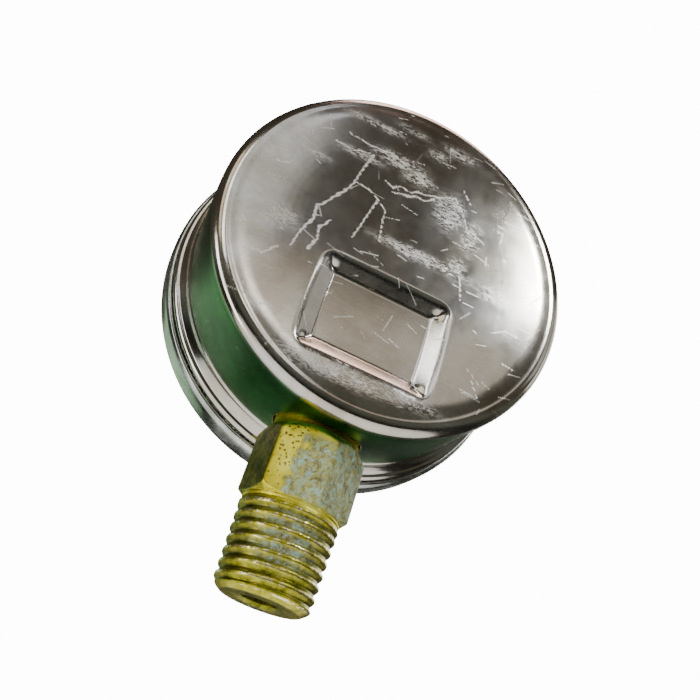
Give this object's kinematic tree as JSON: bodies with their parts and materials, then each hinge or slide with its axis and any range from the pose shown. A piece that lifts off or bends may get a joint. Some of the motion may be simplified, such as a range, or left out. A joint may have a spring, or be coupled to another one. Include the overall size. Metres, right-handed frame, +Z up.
{
  "type": "pressure gauge",
  "caption": "Small pressure gauge with a bottom taper pipe thread, a drawn steel case, a press-on bezel and a geared Bourdon tube movement",
  "frame": {"origin": "middle of the stem's lower end face, on the axis of the pipe thread", "axes": "+Z up the stem through the dial's centre, -Y out of the dial, +Y out of the back, +X to the right of the dial as it is read"},
  "size_m": [0.0566, 0.0271, 0.0764],
  "materials": {
    "case": "drawn stainless sheet, polished, finely scratched; side wall tinted green",
    "bezel": "rolled and polished stainless",
    "window": "clear pane",
    "rubber": "black rubber",
    "stem_brass": "turned brass, tarnished, with green patina in the thread",
    "movement_brass": "stamped brass",
    "tube_bronze": "phosphor bronze strip and tube",
    "screw_steel": "turned steel",
    "dial": "white enamel on sheet",
    "pointer": "black enamel on sheet"
  },
  "bodies": {
    "gauge_body": {"case": "case", "bezel_ring": "bezel", "window_glass": "window", "window_gasket": "rubber", "socket": "stem_brass", "restrictor_screw": "stem_brass", "hairspring_stud": "movement_brass", "movement_rear_plate": "movement_brass", "movement_front_plate": "movement_brass", "pillar_1": "movement_brass", "pillar_2": "movement_brass", "dial_post_1": "movement_brass", "dial_post_2": "movement_brass", "bourdon_tube": "tube_bronze", "hairspring": "tube_bronze", "pillar_screw_1": "screw_steel", "pillar_screw_2": "screw_steel", "movement_screw_1": "screw_steel", "movement_screw_2": "screw_steel", "dial_screw_1": "screw_steel", "dial_screw_2": "screw_steel", "zero_stop_pin": "screw_steel", "dial_plate": "dial"},
    "pointer_body": {"pointer": "pointer", "pointer_hub": "screw_steel", "pinion_arbor": "screw_steel", "hairspring_collet": "movement_brass"},
    "sector_body": {"sector_gear": "movement_brass", "sector_arbor": "screw_steel", "link_pin_sector": "screw_steel"},
    "link_body": {"link": "screw_steel"},
    "tip_body": {"tube_tip_block": "movement_brass", "link_pin_tip": "screw_steel"}
  },
  "joints": [
    {"name": "sector_swing", "type": "hinge", "parent": "gauge_body", "child": "sector_body", "pos_m": [0, 0, 0.0372], "axis": [0, -1, 0], "range_deg": [0, 33.75], "stiffness_Nm_per_rad": 0.02},
    {"name": "pointer_turn", "type": "hinge", "parent": "gauge_body", "child": "pointer_body", "pos_m": [0, 0, 0.048], "axis": [0, 1, 0], "range_deg": [0, 270], "deforming": ["hairspring"]},
    {"name": "link_swing", "type": "hinge", "parent": "sector_body", "child": "link_body", "pos_m": [-0.00145, 0, 0.03242], "axis": [0, -1, 0], "range_deg": [-25, 0]},
    {"name": "tip_flex", "type": "hinge", "parent": "gauge_body", "child": "tip_body", "pos_m": [-0.00221, 0, 0.05333], "axis": [0, -1, 0], "range_deg": [0, 8], "deforming": ["bourdon_tube"]}
  ],
  "couplings": [
    {"joint": "pointer_turn", "follows": "sector_swing", "ratio": 8},
    {"joint": "link_swing", "follows": "sector_swing", "ratio": -0.73618},
    {"joint": "tip_flex", "follows": "sector_swing", "ratio": 0.22942}
  ]
}
